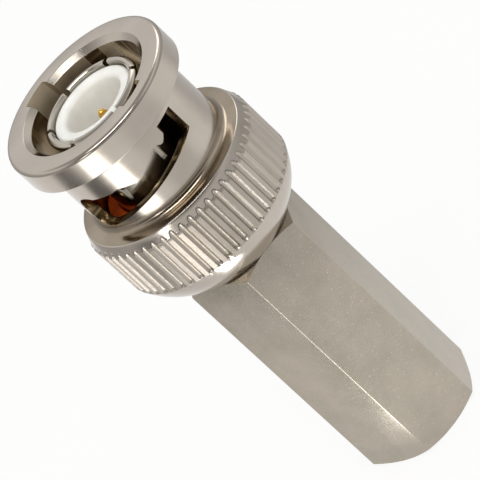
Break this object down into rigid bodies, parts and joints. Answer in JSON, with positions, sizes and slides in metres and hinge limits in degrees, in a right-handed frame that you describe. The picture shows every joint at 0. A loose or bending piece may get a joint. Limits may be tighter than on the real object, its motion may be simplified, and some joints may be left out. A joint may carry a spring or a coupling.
{
  "type": "bnc connector",
  "caption": "Twist-on BNC plug: hex cable body, knurled bayonet coupling nut on a wave washer, slotted outer contact, white insulator, gold centre pin and red gasket.",
  "frame": {"origin": "centre of the cable-end face of the hex body, on which the plug stands", "axes": "+Z along the connector axis towards the mating end; +X through a corner of the hex"},
  "size_m": [0.0146, 0.0146, 0.0374],
  "materials": {
    "hex_body": "nickel plated, fine matt grain",
    "outer_contact": "nickel plated, bright",
    "coupling_nut": "nickel plated, semi-bright",
    "front_insulator": "white moulded polymer",
    "rear_insulator": "white moulded polymer",
    "center_contact": "gold plated",
    "gasket": "red silicone rubber",
    "front_washer": "nickel plated",
    "wave_washer": "spring temper strip",
    "rear_washer": "nickel plated"
  },
  "bodies": {
    "cable_body": {"hex_body": "hex_body", "outer_contact": "outer_contact", "front_insulator": "front_insulator", "rear_insulator": "rear_insulator", "center_contact": "center_contact", "gasket": "gasket", "front_washer": "front_washer", "wave_washer": "wave_washer"},
    "thrust_washer": {"rear_washer": "rear_washer"},
    "coupling_nut": {"coupling_nut": "coupling_nut"}
  },
  "joints": [
    {"name": "nut_float", "type": "slide", "parent": "cable_body", "child": "thrust_washer", "axis": [0, 0, 1], "range_m": [0, 0.0008], "stiffness_N_per_m": 12000, "springref_m": -0.0002, "deforming": ["wave_washer"]},
    {"name": "nut_spin", "type": "hinge", "parent": "thrust_washer", "child": "coupling_nut", "pos_m": [0, 0, 0.03], "axis": [0, 0, 1], "continuous": true}
  ]
}
